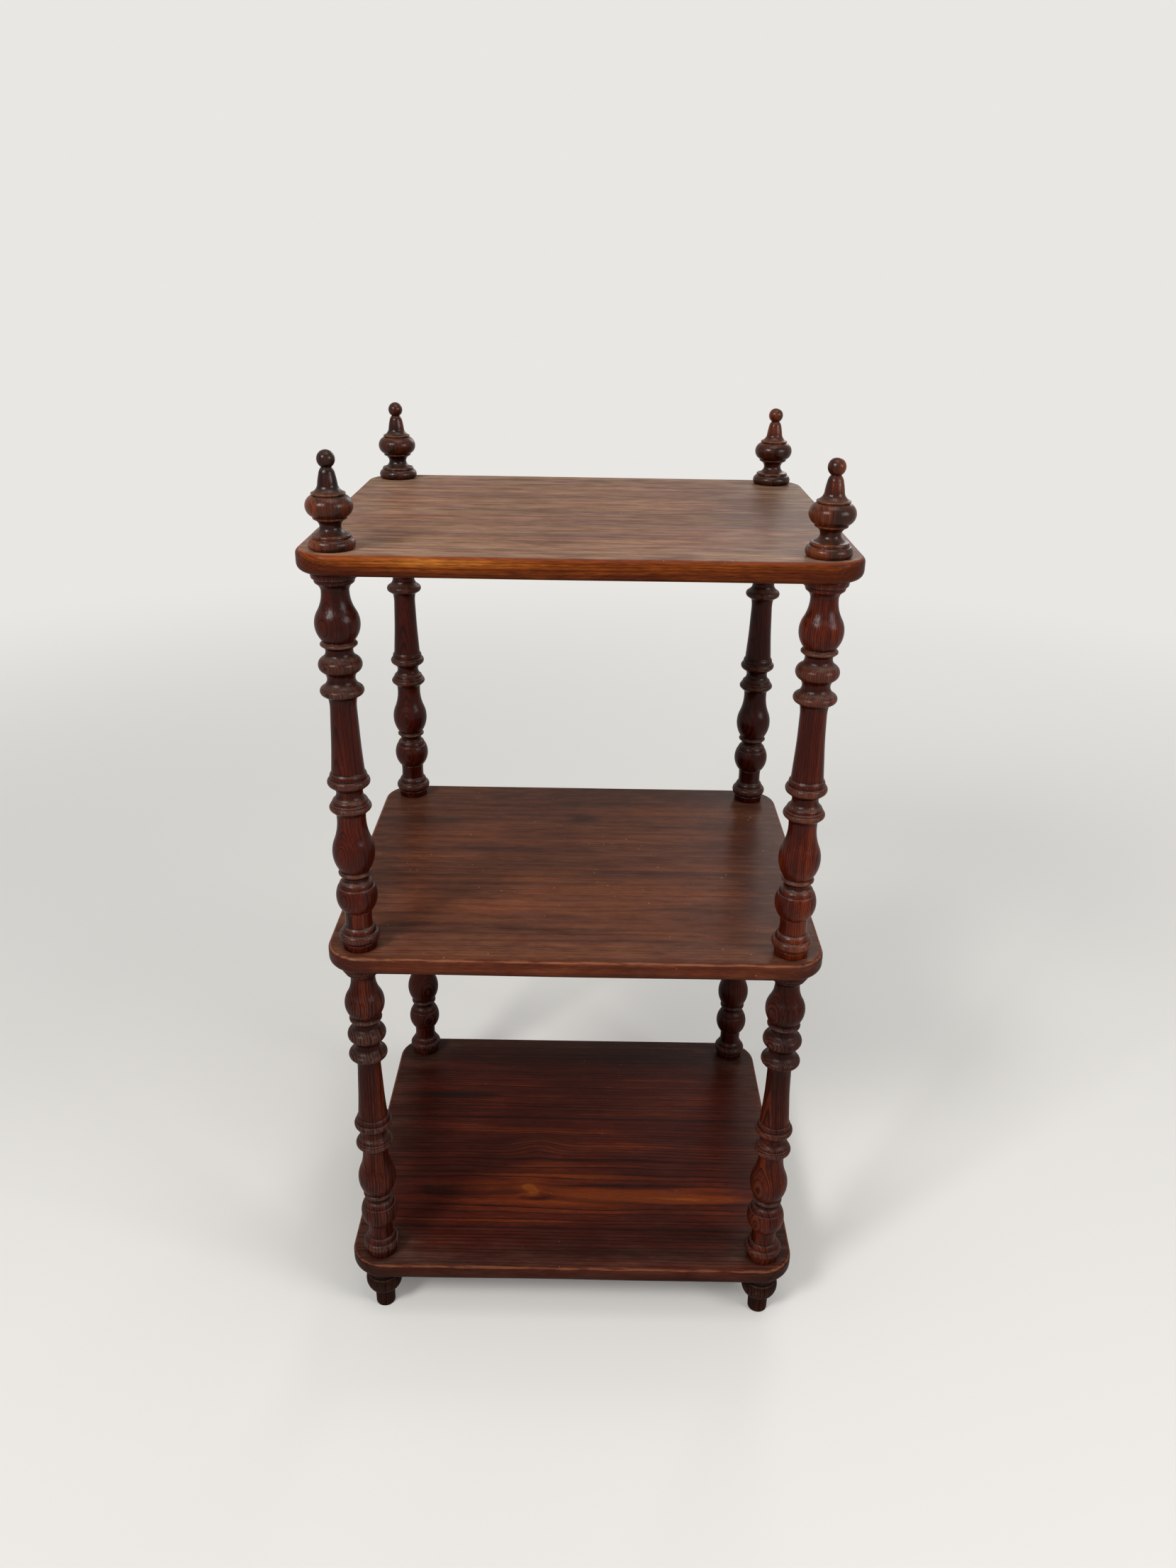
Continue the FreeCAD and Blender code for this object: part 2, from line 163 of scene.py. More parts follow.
# Where the heart of the log lay, seen from the middle of each turned piece, in the order of
# CORNERS: how far off it was in millimetres, in which direction in degrees from +X, and how much
# the grain leans in millimetres per metre. A belly shows eyes of grain on the sides that face
# the heart or away. The last two numbers are how far the soft wood has weathered grey, from 0
# to 1, and how much less stain it took, below 0 for more.
LOGS = {
    "upper_column": (
        (58, 238, 12, 0.15, -0.03),
        (85, 172, 20, 0.1, 0.03),
        (52, 268, -10, 0.15, -0.02),
        # The back right column's darker stain is partly painted shade from the top shelf.
        (70, 225, 15, 0.1, -0.05),
    ),
    "lower_column": (
        (75, 5, 90, 0.7, -0.01),
        (46, 232, -30, 0.4, -0.005),
        (60, 300, 10, 0.5, -0.03),
        (80, 200, -12, 0.3, -0.05),
    ),
    "finial": (
        (48, 215, 8, 0.1, -0.01),
        (40, 200, 8, 0.1, 0.02),
        (60, 250, 8, 0.1, 0.01),
        (52, 290, 8, 0.1, 0.02),
    ),
    "foot": ((48, 215, 8, 0.5, 0.0),) * 4,
}

# Each piece starts somewhere between these distances along its log, in metres.
LOG_SHIFT = (2, 50)

# The seeds of the random draws, in the order of SHELVES and of CORNERS.
GRAIN_SEEDS = (0, 1, 2)
EDGE_SEEDS = (40, 41, 42)
TURNING_SEEDS = {
    "upper_column": (24, 34, 44, 54),
    "lower_column": (24, 34, 44, 54),
    "finial": (70, 71, 72, 73),
    "foot": (90, 91, 92, 93),
}

# ------------------------ finishes

# Each finish is red pine with its stain and varnish at one state of wear. deep, stain, thin and
# bare are the body of the wood, from where the stain took well to where it didn't take, and
# patchy is how much it changes between them. line is the late wood of the rings and lines how
# dark it shows, ring is the width of a ring in millimetres, and ridge the height of its raised
# grain. fibres is how much the fibres show, worn the colour of rubbed edges and of weathered
# fibres, dust and film the two shades of the bloom, dusty how much of it lies, and specks the
# size of its specks. rough is the roughness of the wood, coat how much varnish is left on it,
# and polish the roughness of that varnish.
FINISHES = {
    "upper_column": dict(
        deep="#260501", stain="#400f05", thin="#65250a", bare="#7a3512", line="#150301",
        worn="#5f3828", dust="#5f4a3e", film="#5c4438", ring=1.7, lines=0.8, patchy=0.65,
        fibres=0.2, dusty=0.85, ridge=0.05, rough=0.34, coat=0.2, polish=0.2, specks=0.05,
    ),
    "lower_column": dict(
        deep="#230602", stain="#380e05", thin="#56200d", bare="#6a2f10", line="#130301",
        worn="#4b352d", dust="#3f322d", film="#402f2b", ring=2.1, lines=0.8, patchy=0.65,
        fibres=0.3, dusty=0.55, ridge=0.12, rough=0.44, coat=0.12, polish=0.25, specks=0.05,
    ),
    "finial": dict(
        deep="#1a0401", stain="#3a1104", thin="#66290a", bare="#733a14", line="#100301",
        worn="#6b3c1e", dust="#4e3c30", film="#44342a", ring=2.0, lines=0.4, patchy=1.2,
        fibres=0.25, dusty=0.6, ridge=0.03, rough=0.34, coat=0.3, polish=0.18, specks=0.04,
    ),
    "foot": dict(
        deep="#160705", stain="#24100b", thin="#3c1c0c", bare="#4a2a18", line="#100504",
        worn="#4a372b", dust="#3a3434", film="#3c332c", ring=2.4, lines=0.6, patchy=0.7,
        fibres=0.3, dusty=0.6, ridge=0.1, rough=0.6, coat=0.0, polish=0.3, specks=0.05,
    ),
    "top_shelf": dict(
        deep="#4a1e0b", stain="#73370f", thin="#9c5c22", bare="#a9692e", line="#3d1507",
        worn="#6b2c1c", dust="#826a55", film="#80665a", ring=2.8, lines=0.6, patchy=0.9,
        fibres=0.3, dusty=0.9, ridge=0.05, rough=0.42, coat=0.07, polish=0.25, specks=0.12,
    ),
    "middle_shelf": dict(
        deep="#3a1209", stain="#5a2712", thin="#763615", bare="#8a4a20", line="#2e0e07",
        worn="#8a5a40", dust="#6a4b37", film="#63483a", ring=3.4, lines=0.5, patchy=0.8,
        fibres=0.25, dusty=0.5, ridge=0.05, rough=0.38, coat=0.07, polish=0.2, specks=0.15,
    ),
    "bottom_shelf": dict(
        deep="#290601", stain="#430d02", thin="#6c2903", bare="#86420a", line="#170201",
        worn="#7d4c33", dust="#503c31", film="#4b382f", ring=4.0, lines=0.85, patchy=0.55,
        fibres=0.2, dusty=0.55, ridge=0.08, rough=0.36, coat=0.03, polish=0.25, specks=0.07,
    ),
}

# The darkest spots in the wood, the dirt in creases, partly painted shade in the creases of the
# turnings, and the pale nicks.
SOOT = "#060303"
DIRT_AND_SHADE = "#100705"
NICK = "#a08b7a"

# The blots that break up a finish: their width across the grain and their length along it, in
# millimetres, and how fine their detail goes.
BLOTS = {
    "sway": (22, 180, 2),
    "fibre": (0.5, 6, 2),
    "band": (10, 220, 3),
    "cloud": (30, 110, 4),
    "speckle": (1.4, 12, 4),
    "raised": (0.7, 18, 1),
    "dust_streak": (4.5, 20, 6),
    "film": (14, 60, 4),
    "swarm": (40, 60, 2),
}
BLOT_SCALE = 0.6
RING_SWAY = 9 * MM
RING_UNEVENNESS = 1.6
SPECK_GAP = 7 * MM
BRUSH_RIPPLE = 0.35 * MM

# The places of a colour mix's factor, of its two colours, and of the colour it gives.
FACTOR, UNDER, OVER = 0, 6, 7
MIXED = 2


def linear(text):
    """The linear red, green, blue and alpha of an sRGB hex colour."""
    shares = [int(text[k:k + 2], 16) / 255 for k in (1, 3, 5)]
    curve = [s / 12.92 if s <= 0.04045 else ((s + 0.055) / 1.055) ** 2.4 for s in shares]
    return (*curve, 1.0)


def empty_tree(owner):
    """The node tree of a new material or world, without nodes."""
    owner.use_nodes = True
    owner.node_tree.nodes.clear()
    return owner.node_tree


def add(tree, kind, inputs=(), ramp=(), **settings):
    """Add one node, with its settings, its inputs and its ramp's stops. An input is a value, a
    socket, or a node that stands for its first output."""
    node = tree.nodes.new("ShaderNode" + kind)
    for name, value in settings.items():
        setattr(node, name, value)
    for place, value in dict(inputs).items():
        if isinstance(value, bpy.types.Node):
            value = value.outputs[0]
        if isinstance(value, bpy.types.NodeSocket):
            tree.links.new(value, node.inputs[place])
        else:
            node.inputs[place].default_value = value
    for number, (position, colour) in enumerate(ramp):
        stops = node.color_ramp.elements
        stop = stops[number] if number < 2 else stops.new(position)
        stop.position = position
        stop.color = linear(colour)
    return node


def weighted_sum(tree, total, terms):
    """A start value, and each pattern times its weight added to it."""
    for pattern, weight in terms:
        total = add(tree, "Math", {0: pattern, 1: weight, 2: total}, operation="MULTIPLY_ADD")
    return total


def drawn_blots(tree, grain, kind):
    """A noise drawn out along the log, in blots of the size that BLOTS gives."""
    width, length, detail = BLOTS[kind]
    pulled = add(tree, "VectorMath", {0: grain, 1: (1, 1, width / length)}, operation="MULTIPLY")
    return add(
        tree, "TexNoise",
        {"Vector": pulled, "Scale": BLOT_SCALE / (width * MM), "Detail": detail, "Roughness": 0.6},
    )


def ring_pattern(tree, grain, sway, ring):
    """How much late wood shows, and a chance value for each ring: the distance from the heart,
    bent by a slow noise along the log, is cut into rings of uneven width, and each ring darkens
    outwards and ends sharply."""
    across = add(tree, "VectorMath", {0: grain, 1: (1, 1, 0)}, operation="MULTIPLY")
    distance = add(tree, "VectorMath", {0: across}, operation="LENGTH").outputs["Value"]
    bent = weighted_sum(tree, distance, ((sway, RING_SWAY),))
    rings = add(tree, "Math", {0: bent, 1: ring * MM}, operation="DIVIDE")
    uneven = add(tree, "TexNoise", {"W": rings, "Scale": 0.4, "Detail": 1}, noise_dimensions="1D")
    spaced = weighted_sum(tree, rings, ((uneven, RING_UNEVENNESS),))
    part = add(tree, "Math", {0: spaced}, operation="FRACT")
    late = add(
        tree, "ValToRGB", {0: part},
        ramp=((0.0, "#808080"), (0.07, "#000000"), (0.58, "#3c3c3c"), (0.82, "#ffffff"),
              (0.94, "#ffffff"), (1.0, "#a0a0a0")),
    )
    year = add(tree, "Math", {0: spaced}, operation="FLOOR")
    return late, add(tree, "TexWhiteNoise", {"W": year}, noise_dimensions="1D")


def wood_patterns(tree, finish):
    """What a finish is drawn with: the place in the log, the tone, the marks of wear, dirt and
    painted shade, the rings and the blots."""
    grain = add(tree, "Attribute", attribute_name="grain").outputs["Vector"]
    tone = add(tree, "Attribute", attribute_name="tone").outputs["Fac"]
    marks = add(tree, "Attribute", attribute_name="marks")
    mark = add(tree, "SeparateColor", {0: marks.outputs["Color"]})
    blots = {kind: drawn_blots(tree, grain, kind) for kind in BLOTS}
    late, chance = ring_pattern(tree, grain, blots["sway"], finish.ring)
    return SimpleNamespace(
        grain=grain, tone=tone, late=late, chance=chance, rim=mark.outputs["Red"],
        groove=mark.outputs["Green"], ledge=mark.outputs["Blue"], grey=marks.outputs["Alpha"],
        **blots,
    )


def stain_colour(tree, finish, wood):
    """The stained wood. The stain took unevenly, in long bands and in wide patches, and tone
    holds the spots where it took worst, above 0, or where the wood is black, below 0; below 0 it
    also holds painted shade along the backs and ends of the boards and on the back right upper
    column. The rings show less where the stain is thin."""
    uneven = add(tree, "Math", {0: wood.band, 1: wood.cloud}, operation="ADD")
    spread = add(
        tree, "MapRange",
        {"Value": uneven, "From Max": 2.0, "To Min": 0.4 - 0.5 * finish.patchy,
         "To Max": 0.4 + 0.5 * finish.patchy},
        clamp=False,
    )
    taken = weighted_sum(tree, spread, ((wood.speckle, 0.14), (wood.chance, 0.06), (wood.tone, 1)))
    body = add(
        tree, "ValToRGB", {0: taken},
        ramp=((0.0, SOOT), (0.4, finish.deep), (0.51, finish.stain), (0.61, finish.thin),
              (0.74, finish.thin), (0.82, finish.bare), (1.0, finish.bare)),
    )
    line_share = add(
        tree, "MapRange",
        {"Value": taken, "From Min": 0.5, "From Max": 0.75, "To Min": finish.lines,
         "To Max": 0.4 * finish.lines},
    )
    lined = add(tree, "Math", {0: wood.late, 1: line_share}, operation="MULTIPLY")
    ringed = add(
        tree, "Mix", {FACTOR: lined, UNDER: body, OVER: linear(finish.line)}, data_type="RGBA"
    )
    streak = add(
        tree, "MapRange",
        {"Value": wood.fibre, "From Min": 0.35, "From Max": 0.65, "To Min": 1 - finish.fibres,
         "To Max": 1 + finish.fibres},
    )
    return add(
        tree, "Mix", {FACTOR: 1.0, UNDER: ringed.outputs[MIXED], OVER: streak},
        data_type="RGBA", blend_type="MULTIPLY",
    ).outputs[MIXED]


def dust_layer(tree, finish, wood):
    """The colour of the dust and bloom, darker in streaks along the grain, and how much of it
    lies on beads, ledges and shelves: it is thinner on the hard rings."""
    wiped = weighted_sum(
        tree, wood.tone,
        ((wood.dust_streak, 1.0), (wood.fibre, 0.25), (wood.band, 0.2), (wood.chance, 0.04)),
    )
    shade = add(
        tree, "MapRange",
        {"Value": wiped, "From Min": 0.6, "From Max": 0.9, "To Min": 0.58, "To Max": 1.36},
    )
    film_share = add(tree, "MapRange", {"Value": wood.film, "From Min": 0.42, "From Max": 0.58})
    film = add(
        tree, "Mix", {FACTOR: film_share, UNDER: linear(finish.dust), OVER: linear(finish.film)},
        data_type="RGBA",
    )
    powder = add(
        tree, "Mix", {FACTOR: 1.0, UNDER: film.outputs[MIXED], OVER: shade},
        data_type="RGBA", blend_type="MULTIPLY",
    )
    settled = add(
        tree, "MapRange",
        {"Value": wood.cloud, "From Min": 0.4, "From Max": 0.6, "To Min": 0.75 * finish.dusty,
         "To Max": finish.dusty},
    )
    off_rings = weighted_sum(tree, 1.05, ((wood.late, -0.35),))
    lying = add(tree, "Math", {0: off_rings, 1: settled}, operation="MULTIPLY")
    share = add(tree, "Math", {0: wood.ledge, 1: lying}, operation="MULTIPLY", use_clamp=True)
    return powder.outputs[MIXED], share


def grey_share(tree, wood):
    """How grey the soft wood between the rings has weathered, on beads and bellies."""
    soft = weighted_sum(tree, wood.raised, ((wood.late, -0.3),))
    bare = add(
        tree, "MapRange", {"Value": soft, "From Min": 0.32, "From Max": 0.56},
        interpolation_type="SMOOTHSTEP",
    )
    return add(tree, "Math", {0: bare, 1: wood.grey}, operation="MULTIPLY")


def rubbed_share(tree, wood):
    """How pale the edges are rubbed: patchy, and the paler the more they stand out."""
    rubbed = add(tree, "Math", {0: wood.rim, 1: wood.speckle}, operation="MULTIPLY")
    return add(
        tree, "MapRange", {"Value": rubbed, "From Min": 0.26, "From Max": 0.56, "To Max": 0.6},
        interpolation_type="SMOOTHSTEP",
    )


def speck_share(tree, finish, wood):
    """Specks of dust and pale nicks in loose swarms: up to a millimetre wide, and at most one
    to each gap."""
    cells = add(tree, "TexVoronoi", {"Vector": wood.grain, "Scale": 1 / SPECK_GAP})
    luck = add(tree, "SeparateColor", {0: cells.outputs["Color"]})
    swarm = add(tree, "Math", {0: wood.swarm, 1: luck}, operation="MULTIPLY")
    size = add(
        tree, "MapRange",
        {"Value": swarm, "From Min": 0.3, "From Max": 0.58, "To Max": finish.specks},
    )
    inside = add(tree, "Math", {0: cells.outputs["Distance"], 1: size}, operation="LESS_THAN")
    return add(tree, "Math", {0: inside, 1: 0.45}, operation="MULTIPLY")


def stained_pine(name, finish):
    """Red pine, planed or turned, under a mahogany stain and an old brushed oil varnish: rings
    and fibres show through the stain, beads and ledges hold a grey-brown bloom, creases hold
    dark dirt and painted shade, and hands have rubbed the edges pale. The varnish gives soft
    reflections."""
    material = bpy.data.materials.new(name)
    tree = empty_tree(material)
    finish = SimpleNamespace(**finish)
    wood = wood_patterns(tree, finish)
    powder, dust_share = dust_layer(tree, finish, wood)
    # Dirt and painted shade darken the creases.
    dirt_and_shade_share = add(tree, "Math", {0: wood.groove, 1: 0.85}, operation="MULTIPLY", use_clamp=True)
    # From the wood outwards: grey weathering, dust, dirt and painted shade in the creases, rubbed
    # edges, and nicks.
    colour = stain_colour(tree, finish, wood)
    for share, over in (
        (grey_share(tree, wood), linear(finish.worn)),
        (dust_share, powder),
        (dirt_and_shade_share, linear(DIRT_AND_SHADE)),
        (rubbed_share(tree, wood), linear(finish.worn)),
        (speck_share(tree, finish, wood), linear(NICK)),
    ):
        colour = add(
            tree, "Mix", {FACTOR: share, UNDER: colour, OVER: over}, data_type="RGBA"
        ).outputs[MIXED]
    # The varnish is duller under the dust.
    roughness = weighted_sum(tree, finish.rough - 0.1, ((wood.speckle, 0.2), (dust_share, 0.35)))
    # Late wood stands up in ridges, and the fibres between are finer.
    ridges = weighted_sum(tree, wood.late, ((wood.fibre, 0.8),))
    relief = add(tree, "Bump", {"Height": ridges, "Distance": finish.ridge * MM})
    # The brush left the varnish in faint ripples along the grain, which break its highlights.
    ripples = add(tree, "Bump", {"Height": wood.speckle, "Distance": BRUSH_RIPPLE})
    shader = add(
        tree, "BsdfPrincipled",
        {"Base Color": colour, "Roughness": roughness, "Normal": relief, "Coat Normal": ripples,
         "Specular IOR Level": 0.02, "Coat Weight": finish.coat, "Coat Roughness": finish.polish},
    )
    add(tree, "OutputMaterial", {"Surface": shader})
    return material


# ------------------------ surfaces


def new_object(name, data):
    """A new object in the scene."""
    made = bpy.data.objects.new(name, data)
    bpy.context.scene.collection.objects.link(made)
    return made


def spoke(angle):
    """The point at each angle on a circle of radius 1."""
    return np.stack([np.cos(angle), np.sin(angle)], axis=-1)


def part_way(value, low, high):
    """How far a value has come from low to high, kept between 0 and 1."""
    return np.clip((value - low) / (high - low), 0, 1)


def ring_quads(count, around):
    """The quads between each of count rings and the next, with around points in a ring."""
    here = np.arange(around)
    beside = (here + 1) % around
    ring = (np.arange(count - 1) * around)[:, None]
    corners = [ring + here, ring + beside, ring + beside + around, ring + here + around]
    return np.stack(corners, axis=-1).reshape(-1, 4).tolist()


def loft(name, rings, paint, material):
    """A closed skin over closed rings of points, listed from the bottom up and each running
    counter-clockwise: every ring is joined to the next by quads, and the first and the last
    are closed by a fan about their middles. paint gives each point its place in the log, its
    marks of wear and dirt, and its tone; the marks and the tone both carry some painted shade."""
    count, around = rings.shape[:2]
    points = np.concatenate([rings.reshape(-1, 3), rings[0].mean(0)[None], rings[-1].mean(0)[None]])
    here = np.arange(around)
    beside = (here + 1) % around
    bottom = count * around
    last = bottom - around
    floor_fan = np.stack([np.full(around, bottom), beside, here], axis=-1).tolist()
    roof_fan = np.stack([np.full(around, bottom + 1), last + here, last + beside], axis=-1).tolist()
    mesh = bpy.data.meshes.new(name)
    mesh.from_pydata(points.tolist(), [], ring_quads(count, around) + floor_fan + roof_fan)
    mesh.shade_smooth()
    grain, marks, tone = paint(points)
    for title, kind, field, values in (
        ("grain", "FLOAT_VECTOR", "vector", grain),
        ("marks", "FLOAT_COLOR", "color", marks),
        ("tone", "FLOAT", "value", tone),
    ):
        layer = mesh.attributes.new(title, kind, "POINT")
        layer.data.foreach_set(field, values.astype(np.float32).ravel())
    mesh.materials.append(material)
    return new_object(name, mesh)


def dress(piece, node):
    """Let a finished piece stand for its node."""
    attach(piece, "root")
    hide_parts(node)


# ------------------------ turned pieces

# How wear, dirt and painted shade follow a turned outline. Each mark reads how hollow the
# outline is over a reach, and goes from nothing at the first depth to full at the second, in
# millimetres: a groove is above 0, and what stands out is below. The groove mark is dirt and
# painted shade in the creases. shelter is how safe a place is from the duster.
HOLLOWS = {
    "rim": (0.7, 0, -0.16),
    "groove": (1.1, 0, 0.24),
    "bead": (4, -0.5, -1.3),
    "belly": (8, 0, -2.5),
    "shelter": (5, -1.125, 0.375),
}
LEAST_SHELTER = 0.4
BEAD_DUST = 0.35
LEDGE_STARTS, LEDGE_IS_FULL = 0.4, 0.8
GREY_EVERYWHERE = 0.1
GREY_IN_DUST = 1.2
GREY_ON_BELLY = 0.6
LEAST_SWELL = 1e-7
LEAST_LENGTH = 1e-9
TIP_BELOW_POLE = 1e-6

# How slowly the turner's hand strays along a piece, in millimetres to the radian, and the
# radius below which it strays less.
HAND_WAVES = (7.0, 17.0, 41.0)
STEADY_WITHIN = 5 * MM


def chain(seat, elements, height):
    """The corners of an outline: radii and heights where one element ends and the next begins,
    and the swell of each element, in metres."""
    known = sum(rise for _, rise, _, _ in elements if rise is not None)
    rises = [height / MM - known if rise is None else rise for _, rise, _, _ in elements]
    radii = np.array([seat, *(radius for _, _, radius, _ in elements)]) * MM
    heights = np.concatenate([[0.0], np.cumsum(rises)]) * MM
    swells = np.array([swell for *_, swell in elements]) * MM
    return radii, heights, swells


def outline(radii, heights, swells, spacing):
    """Points along a chain of arcs. On a chord of length c with swell s, the arc has the radius
    (c²/4 + s²) / 2s, and each point turns about its middle by an even share of the arc."""
    chord = np.stack([np.diff(radii), np.diff(heights)], axis=-1)
    length = np.linalg.norm(chord, axis=-1)
    swell = np.where(np.abs(swells) < LEAST_SWELL, LEAST_SWELL, swells)
    half_turn = 2 * np.arctan(2 * swell / length)
    pieces = []
    for k, span in enumerate(length):
        steps = max(3, int(math.ceil(span / spacing)))
        turn = half_turn[k] * np.linspace(-1, 1, steps + 1)[:-1]
        along = (np.sin(turn) / np.sin(half_turn[k]) + 1) / 2
        out = (np.cos(turn) - np.cos(half_turn[k])) / np.sin(half_turn[k]) * span / 2
        unit = chord[k] / span
        square = np.array([unit[1], -unit[0]])
        start = np.array([radii[k], heights[k]])
        pieces.append(start + along[:, None] * chord[k] + out[:, None] * square)
    pieces.append(np.array([[radii[-1], heights[-1]]]))
    return np.concatenate(pieces)


def with_ball(points, radius, spacing):
    """The outline with a ball on its tip, centred on the axis and meeting the last point."""
    neck, height = points[-1]
    middle = height + math.sqrt(radius**2 - neck**2)
    first = math.asin((height - middle) / radius)
    steps = int((math.pi / 2 - first) * radius / spacing)
    angle = np.linspace(first, math.pi / 2, steps + 1)[1:-1]
    ball = [0, middle] + radius * spoke(angle)
    tip = [[radius * math.cos(angle[-1]) / 2, middle + radius - TIP_BELOW_POLE]]
    return np.concatenate([points, ball, tip])


def crease(points, reach, step=0.1 * MM):
    """How hollow the outline is at each point, positive in a groove and negative on a rim: the
    outline is blurred over a reach, and the blur's drift is measured along the normal."""
    along = np.concatenate([[0.0], np.cumsum(np.linalg.norm(np.diff(points, axis=0), axis=-1))])
    even = np.arange(0, along[-1], step)
    line = np.stack([np.interp(even, along, points[:, k]) for k in (0, 1)], axis=-1)
    window = np.exp(-0.5 * (np.arange(-3 * reach, 3 * reach + step, step) / reach) ** 2)
    window /= window.sum()
    margin = len(window) // 2
    padded = np.pad(line, ((margin, margin), (0, 0)), mode="reflect", reflect_type="odd")
    blurred = np.stack([np.convolve(padded[:, k], window, "valid") for k in (0, 1)], axis=-1)
    blurred = blurred[:len(line)]
    tangent = np.gradient(line, axis=0)
    tangent /= np.linalg.norm(tangent, axis=-1)[:, None]
    outward = np.stack([tangent[:, 1], -tangent[:, 0]], axis=-1)
    drift = np.sum((blurred - line) * outward, axis=-1)
    return np.interp(along, even, drift)


def ledge(points):
    """How much the outline faces up at each point, from 0 on a wall to 1 on a level top."""
    tangent = np.gradient(points, axis=0)
    rise = -tangent[:, 0] / np.maximum(np.linalg.norm(tangent, axis=-1), LEAST_LENGTH)
    return part_way(rise, LEDGE_STARTS, LEDGE_IS_FULL)


def turning_marks(points, weather):
    """The marks of wear at each point of an outline: worn rim, dirt and painted shade in the
    creases, dust and grey wood.
    """
    mark = {
        kind: part_way(crease(points, reach * MM), low * MM, high * MM)
        for kind, (reach, low, high) in HOLLOWS.items()
    }
    dust = ledge(points) * np.maximum(LEAST_SHELTER, mark["shelter"])
    dust = np.maximum(dust, BEAD_DUST * mark["bead"])
    grey = GREY_EVERYWHERE + GREY_IN_DUST * dust + GREY_ON_BELLY * mark["belly"]
    grey = weather * np.clip(grey, 0, 1)
    return np.stack([mark["rim"], mark["groove"], dust, grey], axis=-1)


def turned_piece(name, points, centre, floor, sizes, log, seed, material):
    """A turned surface: each outline point goes round the axis, at x = r·k·cos a and
    y = r·k·sin a, where k strays a little from 1, as shrunken wood does across its grain."""
    draw = np.random.default_rng(seed)
    angle = np.arange(sizes.facets) * 2 * math.pi / sizes.facets
    wave = sum(
        np.sin(points[:, 1] / (length * MM) + draw.uniform(0, 2 * math.pi))
        for length in HAND_WAVES
    )
    hand = sizes.stray * wave / len(HAND_WAVES)
    radius = points[:, 0] + hand * np.minimum(1, points[:, 0] / STEADY_WITHIN)
    # The last value sets how much stain the piece took; on the back right upper column its darkness
    # is partly painted shade.
    across, direction, lean, weather, stain = log
    toward = math.radians(direction)
    oval = 1 - sizes.shrinkage * np.cos(angle - toward) ** 2
    rings = np.empty((len(points), sizes.facets, 3))
    rings[..., :2] = centre + (radius[:, None] * oval)[..., None] * spoke(angle)
    rings[..., 2] = floor + points[:, 1][:, None]
    pith = spoke(toward) * across * MM
    shift = draw.uniform(*LOG_SHIFT)
    per_ring = turning_marks(points, weather)

    def paint(at):
        height = at[:, 2] - floor
        bend = np.outer(height * lean * MM, [-math.sin(toward), math.cos(toward)])
        grain = np.column_stack([at[:, :2] - centre - pith - bend, height + shift])
        spread = np.repeat(per_ring, sizes.facets, axis=0)
        marks = np.concatenate([spread, per_ring[:1], per_ring[-1:]])
        return grain, marks, np.full(len(at), stain)

    return loft(name, rings, paint, material)


# ------------------------ shelves

SIDE_RINGS = 3
ROUNDING_WAVES = 9


def rounded_rectangle(half_x, half_y, corner, count):
    """Evenly spaced points round a rectangle with round corners, counter-clockwise from the
    middle of its right side, and the outward normal at each."""
    straight_x, straight_y = 2 * (half_x - corner), 2 * (half_y - corner)
    bend = corner * math.pi / 2
    spans = np.array([straight_y, bend, straight_x, bend] * 2)
    ends = np.concatenate([[0.0], np.cumsum(spans)])
    at = (np.arange(count) * ends[-1] / count + straight_y / 2) % ends[-1]
    part = np.clip(np.searchsorted(ends, at, side="right") - 1, 0, 7)
    inside = at - ends[part]
    quarter = part // 2
    bent = part % 2 == 1
    normal = spoke(quarter * math.pi / 2 + np.where(bent, inside / corner, 0.0))
    facing = spoke(quarter * math.pi / 2)
    side = np.stack([-facing[:, 1], facing[:, 0]], axis=-1)
    reach = np.where(quarter % 2 == 0, half_x, half_y)
    span = np.where(quarter % 2 == 0, half_y, half_x)
    on_side = facing * reach[:, None] + side * (inside + corner - span)[:, None]
    corner_middle = facing * (reach - corner)[:, None] + side * (span - corner)[:, None]
    on_bend = corner_middle + normal * corner
    return np.where(bent[:, None], on_bend, on_side), normal


